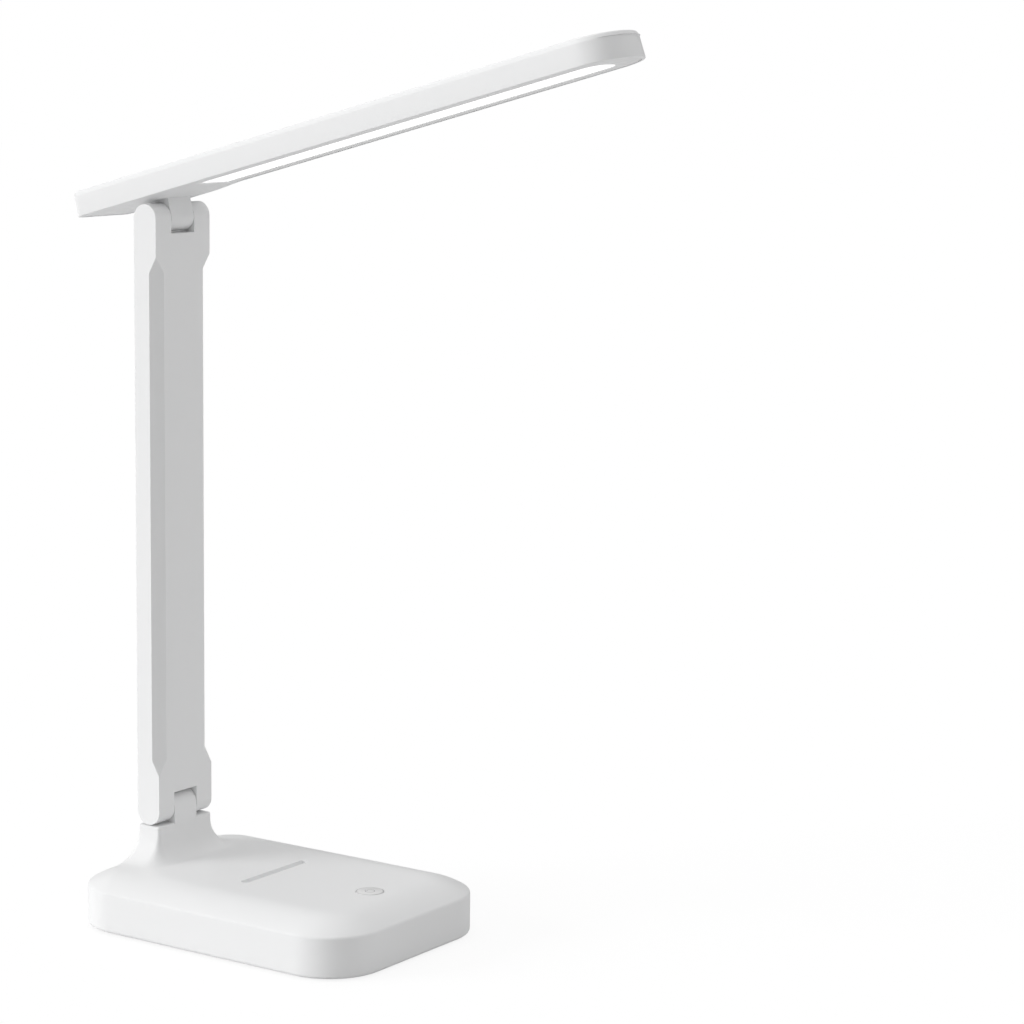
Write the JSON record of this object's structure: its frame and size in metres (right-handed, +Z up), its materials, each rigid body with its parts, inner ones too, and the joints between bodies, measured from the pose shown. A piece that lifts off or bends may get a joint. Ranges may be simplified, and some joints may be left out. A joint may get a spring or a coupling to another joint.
{
  "type": "folding desk lamp",
  "caption": "Folding desk lamp: a weighted base with a touch key, an upright arm that folds forward over it, and a flat light bar that tilts and folds at the arm's top.",
  "frame": {"origin": "middle of the sole's underside, on the desk", "axes": "+X towards the touch key and the light bar's free end, +Y to the left of someone who sits in front of the key, +Z up"},
  "size_m": [0.289, 0.112, 0.4039],
  "materials": {
    "shell": "satin white moulding",
    "frame": "satin off-white moulding",
    "diffuser": "opal, lit from behind",
    "key": "smooth translucent white",
    "sole": "matt silicone",
    "steel": "bright zinc",
    "weight": "blackened plate",
    "cell": "blue shrink sleeve",
    "board": "solder mask",
    "components": "moulded black",
    "light_board": "white coated aluminium",
    "chips": "yellow phosphor",
    "foam": "conductive foam",
    "lead": "flat insulated lead",
    "wire": "insulated wire"
  },
  "bodies": {
    "base": {"base_top_cover": "shell", "base_bottom_cover": "shell", "sole_pad": "sole", "counterweight": "weight", "weight_screws": "steel", "battery_cell": "cell", "battery_leads": "wire", "main_board": "board", "board_components": "components", "usb_port": "steel", "board_screws": "steel", "touch_key": "key", "touch_foam": "foam", "touch_board": "board", "touch_board_screws": "steel", "touch_lead": "lead", "base_screws": "steel", "base_lead": "lead"},
    "arm": {"arm_shell": "shell", "arm_rear_cover": "shell", "lower_hinge_pin": "steel", "lower_friction_washers": "steel", "upper_hinge_pin": "steel", "upper_friction_washers": "steel", "hinge_caps": "shell", "arm_lead": "lead"},
    "head": {"head_top_shell": "shell", "head_frame": "frame", "diffuser": "diffuser", "led_board": "light_board", "led_chips": "chips", "led_board_screws": "steel", "head_lead": "lead"}
  },
  "joints": [
    {"name": "arm_fold", "type": "hinge", "parent": "base", "child": "arm", "pos_m": [-0.0611, 0, 0.0482], "axis": [0, 1, 0], "range_deg": [0, 90]},
    {"name": "head_tilt", "type": "hinge", "parent": "arm", "child": "head", "pos_m": [-0.0611, 0, 0.3182], "axis": [0, -1, 0], "range_deg": [-105, 75]}
  ]
}
